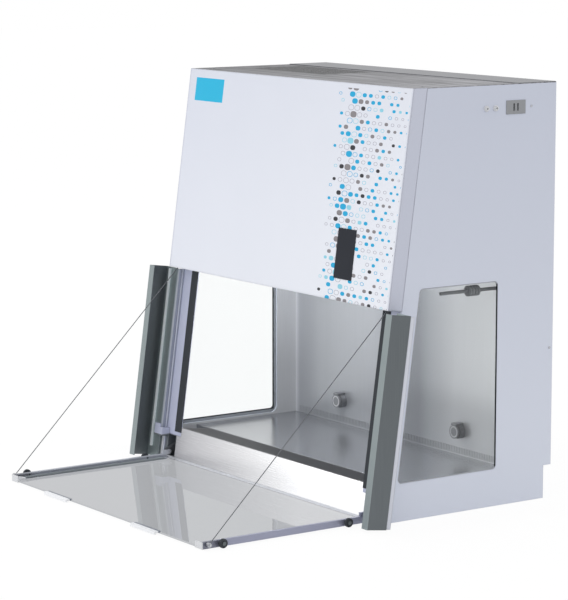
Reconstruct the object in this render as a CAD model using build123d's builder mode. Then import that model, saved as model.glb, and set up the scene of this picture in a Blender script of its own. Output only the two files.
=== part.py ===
"""A biological safety cabinet with a leaning front, side windows and a fold-down front sash.

Millimetres. X runs across the cabinet, -Y is its front and +Z is up. The origin is the
middle of the base's underside, so the cabinet stands on Z = 0.
"""
from build123d import *
import os
from math import cos, radians, sin, tan

os.makedirs("parts", exist_ok=True)

# Overall sizes
WIDTH = 1300.0
HALF = WIDTH / 2
HEIGHT = 1401.0
DEPTH_FOOT = 785.913
LEAN = 7.8
REAR_Y = 380.0
NOTCH_DEEP = 32.0
NOTCH_TALL = 112.0

# Sheets, walls and fits
SHEET = 2.0
SIDE_WALL = 10.0
FIT = 0.3
SEAM = 1.0
RUNNING = 0.05

# Front: depths are measured square to the leaning face, heights along it
FASCIA_FOOT = 701.5
FASCIA_DEEP = 54.5
FASCIA_LIP = 12.0
JAMB_DEPTH = 60.5
JAMB_FOOT = 98.0
OPENING_HALF = HALF - 103.0
SEAL_WIDE = 40.0
SEAL_THICK = 2.5
SEAL_FOOT = 112.0
APRON_FOOT = 20.0
APRON_HALF = HALF - 75.3
POST_WIDE = 14.0

# Chamber
WORK_TOP = 106.0
WORK_THICK = 3.0
WORK_FRONT = -205.0
WALL_FACE = 238.0
CEILING_Z = 775.0
SLOT_BAND = 122.0
SLOT_TALL = 22.0
WALL_SLOT_WIDE = 2.6
WALL_PITCH = 9.0
GRILLE_TOP = 120.0
GRILLE_SLOT_WIDE = 5.0
GRILLE_PITCH = 12.0
TRAY_DEEP = 42.0

# Side windows
WINDOW_REAR = 140.5
WINDOW_FOOT = 125.0
WINDOW_TOP = 756.0
WINDOW_DEPTH = 117.0
WINDOW_RADIUS = 15.0
PANE_THICK = 5.0
PANE_LAP = 12.0
SEAL_LIP = 3.0

# Side channels
CHANNEL_HALF = HALF + 70.0
CHANNEL_DEPTH = 77.2
CHANNEL_FLANGE = 30.0
CHANNEL_WALL = 3.0
CHANNEL_TOP = FASCIA_FOOT - 5.3
STRIP_X = CHANNEL_HALF - 32.0
STRIP_WIDE = 6.0
STRIP_TALL = 8.5

# Sash, lying open in front of the cabinet
HINGE_DEPTH = 50.0
HINGE_Z = 29.0
PIN_R = 4.0
EAR_R = 8.0
RAIL_OUT = HALF - 47.0
GLASS_HALF = RAIL_OUT - 11.0
GLASS_Z = 3.0
GLASS_THICK = 6.0
SASH_FRONT = -990.0
RAIL_TOP = 24.0
RAIL_FOOT = 2.0
RAIL_WALL = 3.0
RAIL_LEDGE = 18.0
GRIP_X = 278.0
GRIP_LONG = 150.0
GRIP_REACH = 21.0
GRIP_LIP = 5.0
GRIP_LAP = 3.0
GRIP_THICK = 2.5
ROLLER_R = 15.0
ROLLER_WIDE = 10.0
ROLLER_X = RAIL_OUT + 15.0
ROLLER_Z = 15.5
ROLLER_Y = (SASH_FRONT + 549.0, SASH_FRONT + 65.0)
AXLE_R = 4.0
CABLE_X = RAIL_OUT + 11.0
CABLE_Y = SASH_FRONT + 14.0
CABLE_Z = 16.5
CABLE_R = 1.5
ANCHOR_DEPTH = 30.1
ANCHOR_RISE = 14.6
BALL_R = 7.0

# Fittings
OUTLET_X = 343.0
OUTLET_Z = 194.0
OUTLET_WIDE = 28.0
OUTLET_TALL = 56.0
OUTLET_DEEP = 22.0
OUTLET_R = 26.0
SOCKET_R = 24.0
CAP_THICK = 6.0
PROBE_X = HALF - 50.0
PROBE_Z = 723.5
PROBE_R = 6.0
PROBE_TIP = -62.0
GLAND_R = 18.0
GLAND_Y = (50.0, 96.0)
SCREEN_X = (338.0, 436.0)
SCREEN_S = (774.0, 939.0)
INLET_Y = (166.0, 247.0)
INLET_Z = (HEIGHT - 99.0, HEIGHT - 54.0)
PORT_Y = (82.0, 121.0)
PORT_Z = HEIGHT - 77.0
PORT_R = 10.0

# Air side
GUARD_X = (-540.0, -90.0)
GUARD_Y = (-40.0, 190.0)
COVER_Y = 215.0
FILTER_TALL = 90.0
FILTER_LIFT = 12.0
PLENUM_Z = 1000.0
FAN_X = 230.0
FAN_Y = 40.0
FAN_R = 120.0
FAN_WIDE = 240.0
FAN_BLADES = 24
SCROLL_CLEAR = 30.0

LEAN_SIN = sin(radians(LEAN))
LEAN_COS = cos(radians(LEAN))
INNER = HALF - SIDE_WALL
INSIDE = INNER - FIT


def front_y(z, depth=0.0):
    """Y of the plane that lies depth behind the leaning face, at height z."""
    return REAR_Y - DEPTH_FOOT + z * tan(radians(LEAN)) + depth / LEAN_COS


def on_slope(along, depth):
    """Y and Z of a point, from its way up the leaning face and its depth behind it."""
    return (front_y(0) + along * LEAN_SIN + depth * LEAN_COS, along * LEAN_COS - depth * LEAN_SIN)


def along_at(z, depth):
    """The way up the leaning face at which a depth plane reaches the height z."""
    return (z + depth * LEAN_SIN) / LEAN_COS


def face_plane(depth):
    """The leaning plane at a depth: local X across, local Y up the slope, normal to the front."""
    face = Plane(origin=(0, front_y(0), 0), x_dir=(1, 0, 0), z_dir=(0, -LEAN_COS, LEAN_SIN))
    return face.offset(-depth)


def section_plane(along):
    """A plane square to the slope: local X across, local Y is the depth."""
    section = Plane(origin=(0, front_y(0), 0), x_dir=(1, 0, 0), z_dir=(0, LEAN_SIN, LEAN_COS))
    return section.offset(along)


def span(x, y, z, mode=Mode.ADD):
    """A box between two limits on each axis, in the part that is being built."""
    with Locations(((x[0] + x[1]) / 2, (y[0] + y[1]) / 2, (z[0] + z[1]) / 2)):
        Box(x[1] - x[0], y[1] - y[0], z[1] - z[0], mode=mode)


def area(x, y, mode=Mode.ADD):
    """A rectangle between two limits, in the sketch that is being drawn."""
    with Locations(((x[0] + x[1]) / 2, (y[0] + y[1]) / 2)):
        Rectangle(x[1] - x[0], y[1] - y[0], mode=mode)


def outline(points):
    """A closed straight-sided face, in the sketch that is being drawn."""
    Polygon(*points, align=None)


def save(name, node):
    node.part.label = name
    export_step(node.part, f"parts/{name}.step")


def save_sides(name, right):
    """Write the right-hand piece and its mirror image on the left."""
    with BuildPart() as left:
        mirror(right.part, about=Plane.YZ)
    save(f"{name}_right", right)
    save(f"{name}_left", left)


def save_group(name, right):
    """Write the right-hand piece and its mirror image as one group of solids."""
    with BuildPart() as group:
        add(right.part)
        mirror(right.part, about=Plane.YZ)
    save(name, group)


# Base pan: a folded floor with an upstand at the front and four fixing holes
BASE_THICK = 2.5
BASE_UPSTAND = 10.5
STAND_HOLES = (WIDTH - 180.0, 520.0)
STAND_HOLE_R = 4.2
BASE_FRONT = JAMB_DEPTH + 4.0
rear_low = REAR_Y - NOTCH_DEEP
with BuildPart() as base_pan:
    with BuildSketch(Plane.YZ.offset(-INSIDE)):
        outline([
            (front_y(0, BASE_FRONT), 0),
            (rear_low, 0),
            (rear_low, BASE_THICK),
            (front_y(BASE_THICK, BASE_FRONT + SHEET), BASE_THICK),
            (front_y(BASE_UPSTAND, BASE_FRONT + SHEET), BASE_UPSTAND),
            (front_y(BASE_UPSTAND, BASE_FRONT), BASE_UPSTAND),
        ])
    extrude(amount=2 * INSIDE)
    with BuildSketch(Plane.XY):
        with GridLocations(*STAND_HOLES, 2, 2):
            Circle(STAND_HOLE_R)
    extrude(amount=BASE_THICK, mode=Mode.SUBTRACT)
save("base_pan", base_pan)

# Back panel: one sheet folded round the notch at the foot
with BuildPart() as back_panel:
    with BuildSketch(Plane.YZ.offset(-INSIDE)):
        outline([
            (REAR_Y, HEIGHT - SHEET),
            (REAR_Y, NOTCH_TALL),
            (rear_low, NOTCH_TALL),
            (rear_low, BASE_THICK),
            (rear_low - SHEET, BASE_THICK),
            (rear_low - SHEET, NOTCH_TALL + SHEET),
            (REAR_Y - SHEET, NOTCH_TALL + SHEET),
            (REAR_Y - SHEET, HEIGHT - SHEET),
        ])
    extrude(amount=2 * INSIDE)
save("back_panel", back_panel)


def window_shape(grow):
    """The side window's outline, grown outwards, in the side view."""
    lean = tan(radians(LEAN))
    foot = WINDOW_FOOT - grow
    top = WINDOW_TOP + grow
    front = WINDOW_DEPTH - grow
    outline([
        (front_y(foot, front), foot),
        (WINDOW_REAR + grow, foot),
        (WINDOW_REAR + grow, top),
        (front_y(foot, front) + (top - foot) * lean, top),
    ])
    fillet(vertices(), WINDOW_RADIUS + grow)


# Side panel: double wall with a rebated window and cut-outs for the power inlet
INLET_TRIM = 3.0
PANEL_FRONT = FASCIA_DEEP + SEAM
REBATE = PANE_THICK + SEAL_LIP - SHEET
with BuildPart() as side_panel:
    with BuildSketch(Plane.YZ.offset(INNER)):
        outline([
            (rear_low, 0),
            (rear_low, NOTCH_TALL),
            (REAR_Y, NOTCH_TALL),
            (REAR_Y, HEIGHT - SHEET),
            (front_y(HEIGHT - SHEET, PANEL_FRONT), HEIGHT - SHEET),
            (front_y(0, PANEL_FRONT), 0),
        ])
    extrude(amount=SIDE_WALL)
    with BuildSketch(Plane.YZ.offset(INNER)):
        window_shape(0)
    extrude(amount=SIDE_WALL, mode=Mode.SUBTRACT)
    with BuildSketch(Plane.YZ.offset(INNER)):
        window_shape(PANE_LAP)
    extrude(amount=REBATE, mode=Mode.SUBTRACT)
with BuildPart() as side_panel_left:
    mirror(side_panel.part, about=Plane.YZ)
save("side_panel_left", side_panel_left)
with BuildPart() as side_panel_right:
    add(side_panel.part)
    span((INNER, HALF), (INLET_Y[0] + INLET_TRIM, INLET_Y[1] - INLET_TRIM),
         (INLET_Z[0] + INLET_TRIM, INLET_Z[1] - INLET_TRIM), mode=Mode.SUBTRACT)
save("side_panel_right", side_panel_right)

# Window seal: a rubber frame in the rebate, with a lip that lines the opening
SEAL_BED = REBATE - PANE_THICK
with BuildPart() as window_seal:
    with BuildSketch(Plane.YZ.offset(INNER + PANE_THICK)):
        window_shape(PANE_LAP - FIT)
    extrude(amount=SEAL_BED - FIT)
    with BuildSketch(Plane.YZ.offset(INNER + PANE_THICK)):
        window_shape(-FIT)
    extrude(amount=SIDE_WALL - PANE_THICK - SHEET / 2)
    with BuildSketch(Plane.YZ.offset(INNER + PANE_THICK)):
        window_shape(-SEAL_LIP)
    extrude(amount=SIDE_WALL, mode=Mode.SUBTRACT)
save_group("window_seals", window_seal)

with BuildPart() as side_window:
    with BuildSketch(Plane.YZ.offset(INNER)):
        window_shape(PANE_LAP - FIT)
    extrude(amount=PANE_THICK)
save_group("side_windows", side_window)

# Inner back wall: stainless, with a band of return-air slots at its foot
wall_slots = int((WIDTH - 76.0) / WALL_PITCH)
with BuildPart() as inner_back_wall:
    with BuildSketch(Plane.XZ.offset(-WALL_FACE)):
        area((-INSIDE, INSIDE), (WORK_TOP + FIT, CEILING_Z - FIT))
        with Locations((0, SLOT_BAND)):
            with GridLocations(WALL_PITCH, 1, wall_slots, 1):
                Rectangle(WALL_SLOT_WIDE, SLOT_TALL, mode=Mode.SUBTRACT)
    extrude(amount=-SHEET)
save("inner_back_wall", inner_back_wall)

# Work surface: a stainless tray with a turned-down front edge
WORK_LIP = 22.0
with BuildPart() as work_surface:
    with BuildSketch(Plane.YZ.offset(-INSIDE)):
        outline([
            (WORK_FRONT, WORK_TOP),
            (WALL_FACE + SHEET, WORK_TOP),
            (WALL_FACE + SHEET, WORK_TOP - WORK_THICK),
            (WORK_FRONT + WORK_THICK, WORK_TOP - WORK_THICK),
            (WORK_FRONT + WORK_THICK, WORK_TOP - WORK_LIP),
            (WORK_FRONT, WORK_TOP - WORK_LIP),
        ])
    extrude(amount=2 * INSIDE)
    fillet(work_surface.edges().filter_by(Axis.X).group_by(Axis.Z)[-1].sort_by(Axis.Y)[0], 2.0)
save("work_surface", work_surface)

# Spill tray under the work surface, hung on its two side flanges
TRAY_X = HALF - 38.0
TRAY_Y = (WORK_FRONT + 25.0, WALL_FACE - 16.0)
tray_top = WORK_TOP - WORK_THICK
with BuildPart() as spill_tray:
    span((-TRAY_X, TRAY_X), TRAY_Y, (tray_top - TRAY_DEEP, tray_top))
    span((-TRAY_X + SHEET, TRAY_X - SHEET), (TRAY_Y[0] + SHEET, TRAY_Y[1] - SHEET),
         (tray_top - TRAY_DEEP + SHEET, tray_top), mode=Mode.SUBTRACT)
    for side in (-1, 1):
        limits = sorted((side * TRAY_X, side * INSIDE))
        span(limits, TRAY_Y, (tray_top - SHEET, tray_top))
save("spill_tray", spill_tray)

# Front intake grille: a sheet that climbs to the front, cut with long slots
grille_end = JAMB_DEPTH + SHEET + FIT
grille_y, grille_z = on_slope(along_at(GRILLE_TOP, grille_end), grille_end)
grille_run = ((WORK_FRONT - grille_y) ** 2 + (grille_z - WORK_TOP) ** 2) ** 0.5
GRILLE_HALF = OPENING_HALF - 0.5
grille_slots = int((2 * GRILLE_HALF - 10.0) / GRILLE_PITCH)
grille_plane = Plane(
    origin=(0, (WORK_FRONT + grille_y) / 2, (WORK_TOP + grille_z) / 2),
    x_dir=(1, 0, 0),
    z_dir=(0, grille_z - WORK_TOP, WORK_FRONT - grille_y),
)
with BuildPart() as front_grille:
    with BuildSketch(grille_plane):
        Rectangle(2 * GRILLE_HALF, grille_run - 2 * FIT)
        with GridLocations(GRILLE_PITCH, 1, grille_slots, 1):
            Rectangle(GRILLE_SLOT_WIDE, grille_run - 24.0, mode=Mode.SUBTRACT)
    extrude(amount=-SHEET)
save("front_grille", front_grille)

# Front apron: stainless sheet from the grille's front edge down to the hinge line
apron_top = along_at(GRILLE_TOP, JAMB_DEPTH)
with BuildPart() as front_apron:
    with BuildSketch(face_plane(JAMB_DEPTH)):
        area((-APRON_HALF, APRON_HALF), (APRON_FOOT, JAMB_FOOT - FIT))
        area((-GRILLE_HALF, GRILLE_HALF), (APRON_FOOT, apron_top))
    extrude(amount=-SHEET)
save("front_apron", front_apron)

# Jamb: the painted frame beside the opening, with a post below it and a stop foot
FOOT_X = (HALF - 24.0, HALF - 8.0, HALF + 26.0)
FOOT_S = (88.0, 118.0, 130.0)
FOOT_DEPTH = 29.0
FOOT_PLATE = 5.0
HEADER_FOOT = FASCIA_FOOT - 1.5
with BuildPart() as jamb:
    with BuildSketch(face_plane(JAMB_DEPTH)):
        area((OPENING_HALF, INSIDE), (JAMB_FOOT, HEADER_FOOT))
        area((INSIDE - POST_WIDE, INSIDE), (APRON_FOOT, JAMB_FOOT))
    extrude(amount=-SHEET)
    with BuildSketch(face_plane(FOOT_DEPTH)):
        area((FOOT_X[0], FOOT_X[2]), FOOT_S[0:2])
        area(FOOT_X[1:3], (FOOT_S[0], FOOT_S[2]))
    extrude(amount=-FOOT_PLATE)
    with BuildSketch(face_plane(FOOT_DEPTH + FOOT_PLATE)):
        area((FOOT_X[0], INSIDE), FOOT_S[0:2])
    extrude(amount=-(JAMB_DEPTH - FOOT_DEPTH - FOOT_PLATE))
save_sides("jamb", jamb)

with BuildPart() as seal_strip:
    with BuildSketch(face_plane(JAMB_DEPTH)):
        area((OPENING_HALF, OPENING_HALF + SEAL_WIDE), (SEAL_FOOT, HEADER_FOOT))
    extrude(amount=SEAL_THICK)
save_group("seal_strips", seal_strip)

# Hinge pocket: the dark box beside the apron that takes the sash hinge
POCKET_DEEP = 30.0
pocket_x = (APRON_HALF + FIT, INSIDE - POST_WIDE - FIT)
with BuildPart() as hinge_pocket:
    with BuildSketch(face_plane(JAMB_DEPTH)):
        area(pocket_x, (APRON_FOOT, JAMB_FOOT - FIT))
    extrude(amount=-POCKET_DEEP)
    with BuildSketch(face_plane(JAMB_DEPTH)):
        area((pocket_x[0] + SHEET, pocket_x[1] - SHEET), (APRON_FOOT + SHEET, JAMB_FOOT - FIT - SHEET))
    extrude(amount=-(POCKET_DEEP - SHEET), mode=Mode.SUBTRACT)
save_group("hinge_pockets", hinge_pocket)

# Hinge block: a lug that stands out of the pocket and holds the hinge pin
hinge_y = front_y(HINGE_Z, HINGE_DEPTH)
BLOCK_X = (RAIL_OUT + 2.0, RAIL_OUT + 18.0)
block_back = JAMB_DEPTH + POCKET_DEEP - SHEET
with BuildPart() as hinge_block:
    with BuildSketch(Plane.YZ.offset(BLOCK_X[0])):
        with Locations((hinge_y, HINGE_Z)):
            Circle(EAR_R)
        outline([
            (hinge_y, HINGE_Z - EAR_R),
            on_slope(along_at(HINGE_Z - EAR_R, block_back) + 4.0, block_back),
            on_slope(along_at(HINGE_Z - EAR_R, block_back) + 38.0, block_back),
            (hinge_y, HINGE_Z + EAR_R),
        ])
    extrude(amount=BLOCK_X[1] - BLOCK_X[0])
    with BuildSketch(Plane.YZ.offset(BLOCK_X[0])):
        with Locations((hinge_y, HINGE_Z)):
            Circle(PIN_R)
    extrude(amount=BLOCK_X[1] - BLOCK_X[0], mode=Mode.SUBTRACT)
save_group("hinge_blocks", hinge_block)

# Hinge pin: fixed in the block, with a head on the inner side of the rail's ear
HEAD_R = 6.0
HEAD_THICK = 2.5
ear_x = (RAIL_OUT - RAIL_WALL - 8.0, RAIL_OUT - RAIL_WALL)
with BuildPart() as hinge_pin:
    with BuildSketch(Plane.YZ.offset(ear_x[0] - FIT)):
        with Locations((hinge_y, HINGE_Z)):
            Circle(PIN_R)
    extrude(amount=BLOCK_X[1] - ear_x[0] + FIT)
    with BuildSketch(Plane.YZ.offset(ear_x[0] - FIT)):
        with Locations((hinge_y, HINGE_Z)):
            Circle(HEAD_R)
    extrude(amount=-HEAD_THICK)
save_group("hinge_pins", hinge_pin)

# Fascia: one folded sheet with side returns and a stiffening lip at its foot
screen_cut = (SCREEN_X[0] - FIT, SCREEN_X[1] + FIT)
foot_front = on_slope(FASCIA_FOOT, 0)
foot_rear = on_slope(FASCIA_FOOT, FASCIA_DEEP)
with BuildPart() as front_fascia:
    with BuildSketch(Plane.YZ.offset(-HALF)):
        outline([
            foot_front,
            foot_rear,
            (front_y(HEIGHT, FASCIA_DEEP), HEIGHT),
            (front_y(HEIGHT), HEIGHT),
        ])
    extrude(amount=WIDTH)
    fillet(front_fascia.faces().sort_by(Axis.Y)[0].edges().filter_by(
        lambda edge: abs(edge.tangent_at(0).X) < 0.5), 3.0)
    with BuildSketch(section_plane(FASCIA_FOOT - 30.0)):
        area((-HALF + SHEET, HALF - SHEET), (SHEET, FASCIA_DEEP + 10.0))
    extrude(amount=HEIGHT, mode=Mode.SUBTRACT)
    with BuildSketch(section_plane(FASCIA_FOOT)):
        area((-HALF + SHEET / 2, HALF - SHEET / 2), (SHEET / 2, FASCIA_LIP))
    extrude(amount=SHEET)
    with BuildSketch(face_plane(0)):
        area(screen_cut, (SCREEN_S[0] - FIT, SCREEN_S[1] + FIT))
    extrude(amount=-SHEET, mode=Mode.SUBTRACT)
save("front_fascia", front_fascia)

# Display: a dark pane in the fascia's cut-out with a flange behind the sheet
SCREEN_PROUD = 1.0
SCREEN_FLANGE = 8.0
SCREEN_BODY = 6.0
with BuildPart() as display_screen:
    with BuildSketch(face_plane(-SCREEN_PROUD)):
        area(SCREEN_X, SCREEN_S)
    extrude(amount=-(SCREEN_PROUD + SHEET))
    fillet(display_screen.faces().sort_by(Axis.Y)[0].edges(), SCREEN_PROUD / 2)
    with BuildSketch(face_plane(SHEET)):
        area((SCREEN_X[0] - SCREEN_FLANGE, SCREEN_X[1] + SCREEN_FLANGE),
             (SCREEN_S[0] - SCREEN_FLANGE, SCREEN_S[1] + SCREEN_FLANGE))
    extrude(amount=-SCREEN_BODY)
save("display_screen", display_screen)

# Control board behind the display, on four spacers
BOARD_GAP = 8.0
BOARD_THICK = 1.6
SPACER_R = 3.0
with BuildPart() as control_board:
    with BuildSketch(face_plane(SHEET + SCREEN_BODY + BOARD_GAP)):
        area(SCREEN_X, SCREEN_S)
    extrude(amount=-BOARD_THICK)
    with BuildSketch(face_plane(SHEET + SCREEN_BODY)):
        with Locations(((SCREEN_X[0] + SCREEN_X[1]) / 2, (SCREEN_S[0] + SCREEN_S[1]) / 2)):
            with GridLocations(SCREEN_X[1] - SCREEN_X[0] - 12, SCREEN_S[1] - SCREEN_S[0] - 12, 2, 2):
                Circle(SPACER_R)
    extrude(amount=-BOARD_GAP)
    with BuildSketch(face_plane(SHEET + SCREEN_BODY + BOARD_GAP + BOARD_THICK)):
        area((SCREEN_X[0] + 20, SCREEN_X[1] - 20), (SCREEN_S[0] + 12, SCREEN_S[0] + 24))
        area((SCREEN_X[0] + 20, SCREEN_X[0] + 52), (SCREEN_S[1] - 60, SCREEN_S[1] - 28))
    extrude(amount=-7.0)
save("control_board", control_board)

# Inner front wall above the opening, with two clips for the lamp
LAMP_R = 8.0
LAMP_DEPTH = 92.0
LAMP_S = HEADER_FOOT + 38.0
LAMP_HALF = HALF - 75.0
CLIP_X = HALF - 150.0
CLIP_WIDE = 12.0
ceiling_s = along_at(CEILING_Z, JAMB_DEPTH)
header_back = JAMB_DEPTH + SHEET
with BuildPart() as front_header:
    with BuildSketch(face_plane(JAMB_DEPTH)):
        area((-INSIDE, INSIDE), (HEADER_FOOT, ceiling_s))
    extrude(amount=-SHEET)
    for side in (-1, 1):
        with BuildSketch(Plane.YZ.offset(side * CLIP_X - CLIP_WIDE / 2)):
            outline([
                on_slope(LAMP_S - LAMP_R, header_back - SHEET / 2),
                on_slope(LAMP_S - LAMP_R, LAMP_DEPTH),
                on_slope(LAMP_S + LAMP_R, LAMP_DEPTH),
                on_slope(LAMP_S + LAMP_R, header_back - SHEET / 2),
            ])
            with Locations(on_slope(LAMP_S, LAMP_DEPTH)):
                Circle(LAMP_R + FIT, mode=Mode.SUBTRACT)
        extrude(amount=CLIP_WIDE)
save("front_header", front_header)

with BuildPart() as lamp_tube:
    with BuildSketch(Plane.YZ.offset(-LAMP_HALF)):
        with Locations(on_slope(LAMP_S, LAMP_DEPTH)):
            Circle(LAMP_R)
    extrude(amount=2 * LAMP_HALF)
save("lamp_tube", lamp_tube)

# Ceiling diffuser: a slotted sheet under the supply filter
DIFFUSER_SLOTS = (24, 5)
ceiling_front = front_y(CEILING_Z, header_back) + FIT
with BuildPart() as ceiling_diffuser:
    with BuildSketch(Plane.XY.offset(CEILING_Z)):
        area((-INSIDE, INSIDE), (ceiling_front, REAR_Y - SHEET - FIT))
        with Locations((0, (ceiling_front + WALL_FACE) / 2)):
            with GridLocations(48.0, 84.0, *DIFFUSER_SLOTS):
                Rectangle(30.0, 12.0, mode=Mode.SUBTRACT)
    extrude(amount=SHEET)
save("ceiling_diffuser", ceiling_diffuser)


def filter_cartridge(x, y, z_low):
    """A filter: a deep frame with the pleated pack set back in both faces."""
    rim = 14.0
    sink = 6.0
    span(x, y, (z_low, z_low + FILTER_TALL))
    for level in (z_low, z_low + FILTER_TALL - sink):
        span((x[0] + rim, x[1] - rim), (y[0] + rim, y[1] - rim), (level, level + sink), mode=Mode.SUBTRACT)


SUPPLY_X = HALF - 40.0
supply_low = CEILING_Z + SHEET
with BuildPart() as supply_filter:
    filter_cartridge((-SUPPLY_X, SUPPLY_X), (ceiling_front + FILTER_LIFT, WALL_FACE - FILTER_LIFT), supply_low)
save("supply_filter", supply_filter)

# Plenum plate: carries the fan and divides the filtered side from the intake side
FAN_OUTLET = (170.0, 130.0)
plenum_front = front_y(PLENUM_Z, header_back)
with BuildPart() as plenum_plate:
    with BuildSketch(Plane.XY.offset(PLENUM_Z)):
        area((-INSIDE, INSIDE), (plenum_front, REAR_Y - SHEET - FIT))
        with Locations((FAN_X, FAN_Y + FAN_R - FAN_OUTLET[1] / 2 + SCROLL_CLEAR - SHEET)):
            Rectangle(*FAN_OUTLET, mode=Mode.SUBTRACT)
    extrude(amount=SHEET)
save("plenum_plate", plenum_plate)

# Fan housing: a scroll round the wheel, open to both sides, on a foot with the outlet
fan_z = PLENUM_Z + SHEET + FAN_R + 2 * SCROLL_CLEAR
scroll_r = FAN_R + SCROLL_CLEAR
scroll_wide = FAN_WIDE + 2 * 12.0
INLET_R = 88.0
with BuildPart() as blower_housing:
    with BuildSketch(Plane.YZ.offset(FAN_X - scroll_wide / 2)):
        with Locations((FAN_Y, fan_z)):
            Circle(scroll_r)
        area((FAN_Y, FAN_Y + scroll_r), (PLENUM_Z + SHEET, fan_z))
    extrude(amount=scroll_wide)
    with BuildSketch(Plane.YZ.offset(FAN_X - scroll_wide / 2 + SHEET)):
        with Locations((FAN_Y, fan_z)):
            Circle(scroll_r - SHEET)
        area((FAN_Y + SHEET, FAN_Y + scroll_r - SHEET), (PLENUM_Z, fan_z))
    extrude(amount=scroll_wide - 2 * SHEET, mode=Mode.SUBTRACT)
    with BuildSketch(Plane.YZ.offset(FAN_X - scroll_wide / 2)):
        with Locations((FAN_Y, fan_z)):
            Circle(INLET_R)
    extrude(amount=scroll_wide, mode=Mode.SUBTRACT)
save("blower_housing", blower_housing)

# Fan motor: hung in the right inlet on a three-armed bracket fixed to the housing
MOTOR_R = 48.0
MOTOR_LONG = 90.0
SHAFT_R = 6.0
ARM_WIDE = 16.0
ARM_REACH = 118.0
motor_x = FAN_X + scroll_wide / 2 + SHEET
with BuildPart() as blower_motor:
    with BuildSketch(Plane.YZ.offset(motor_x)):
        with Locations((FAN_Y, fan_z)):
            Circle(MOTOR_R)
    extrude(amount=MOTOR_LONG)
    fillet(blower_motor.edges().sort_by(Axis.X)[-1], 6.0)
    with BuildSketch(Plane.YZ.offset(motor_x - SHEET)):
        with Locations((FAN_Y, fan_z)):
            with PolarLocations(0, 3, 90):
                with Locations((ARM_REACH / 2, 0)):
                    Rectangle(ARM_REACH, ARM_WIDE)
    extrude(amount=SHEET * 2)
    with BuildSketch(Plane.YZ.offset(motor_x - SHEET)):
        with Locations((FAN_Y, fan_z)):
            Circle(SHAFT_R + RUNNING)
    extrude(amount=60.0, mode=Mode.SUBTRACT)
save("blower_motor", blower_motor)

# Fan wheel: two end rings, a middle disc with its hub, curved blades and the shaft
RING_IN = 96.0
BLADE_THICK = 3.0
HUB_R = 18.0
fan_low = FAN_X - FAN_WIDE / 2
with BuildPart() as blower_wheel:
    for start, wide, inner in ((fan_low, 4.0, RING_IN), (fan_low + FAN_WIDE - 4.0, 4.0, RING_IN),
                               (FAN_X - 2.0, 4.0, 0.0)):
        with BuildSketch(Plane.YZ.offset(start)):
            with Locations((FAN_Y, fan_z)):
                Circle(FAN_R)
                if inner:
                    Circle(inner, mode=Mode.SUBTRACT)
        extrude(amount=wide)
    with BuildSketch(Plane.YZ.offset(fan_low)):
        with Locations((FAN_Y, fan_z)):
            with PolarLocations((RING_IN + FAN_R) / 2, FAN_BLADES):
                Rectangle(FAN_R - RING_IN - 3.0, BLADE_THICK, rotation=24)
    extrude(amount=FAN_WIDE)
    with BuildSketch(Plane.YZ.offset(FAN_X - 30.0)):
        with Locations((FAN_Y, fan_z)):
            Circle(HUB_R)
    extrude(amount=60.0)
    with BuildSketch(Plane.YZ.offset(FAN_X)):
        with Locations((FAN_Y, fan_z)):
            Circle(SHAFT_R)
    extrude(amount=scroll_wide / 2 + 50.0)
save("blower_wheel", blower_wheel)

# Top panel with the exhaust opening, stepped to fit between the fascia's returns
top_low = HEIGHT - SHEET
step_y = front_y(HEIGHT, PANEL_FRONT)
with BuildPart() as top_panel:
    with BuildSketch(Plane.XY.offset(top_low)):
        area((-HALF, HALF), (step_y, REAR_Y))
        area((-HALF + SHEET + FIT, HALF - SHEET - FIT), (front_y(HEIGHT, SHEET) + FIT, step_y))
        area(GUARD_X, GUARD_Y, mode=Mode.SUBTRACT)
    extrude(amount=SHEET)
save("top_panel", top_panel)

# Exhaust guard: a slotted sheet set in the top panel, with a flange below it
GUARD_LAP = 12.0
GUARD_SLOTS = (30, 5)
with BuildPart() as exhaust_guard:
    with BuildSketch(Plane.XY.offset(top_low)):
        area((GUARD_X[0] + FIT, GUARD_X[1] - FIT), (GUARD_Y[0] + FIT, GUARD_Y[1] - FIT))
    extrude(amount=SHEET)
    with BuildSketch(Plane.XY.offset(top_low - SHEET)):
        area((GUARD_X[0] - GUARD_LAP, GUARD_X[1] + GUARD_LAP), (GUARD_Y[0] - GUARD_LAP, GUARD_Y[1] + GUARD_LAP))
    extrude(amount=SHEET)
    with BuildSketch(Plane.XY.offset(top_low - SHEET)):
        with Locations(((GUARD_X[0] + GUARD_X[1]) / 2, (GUARD_Y[0] + GUARD_Y[1]) / 2)):
            with GridLocations(14.5, 42.0, *GUARD_SLOTS):
                Rectangle(6.0, 34.0, mode=Mode.ADD)
    extrude(amount=2 * SHEET, mode=Mode.SUBTRACT)
save("exhaust_guard", exhaust_guard)

with BuildPart() as exhaust_filter:
    filter_cartridge((GUARD_X[0] - GUARD_LAP, GUARD_X[1] + GUARD_LAP),
                     (GUARD_Y[0] - GUARD_LAP, GUARD_Y[1] + GUARD_LAP), top_low - SHEET - FILTER_TALL)
save("exhaust_filter", exhaust_filter)

with BuildPart() as rear_cover:
    span((-HALF + SHEET, HALF - SHEET), (COVER_Y, REAR_Y - SEAM), (HEIGHT, HEIGHT + SHEET))
save("rear_cover", rear_cover)

# Side channel: a folded section with a short front flange and a wide rear flange
channel_half = CHANNEL_DEPTH / 2
channel_foot = channel_half * tan(radians(LEAN))
with BuildPart() as side_channel:
    with BuildSketch(section_plane(channel_foot)):
        area((CHANNEL_HALF - CHANNEL_FLANGE, CHANNEL_HALF), (-channel_half, -channel_half + CHANNEL_WALL))
        area((CHANNEL_HALF - CHANNEL_WALL, CHANNEL_HALF), (-channel_half, channel_half))
        area((HALF + FIT, CHANNEL_HALF), (channel_half - CHANNEL_WALL, channel_half))
    extrude(amount=CHANNEL_TOP - channel_foot)
save_sides("side_channel", side_channel)

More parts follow.
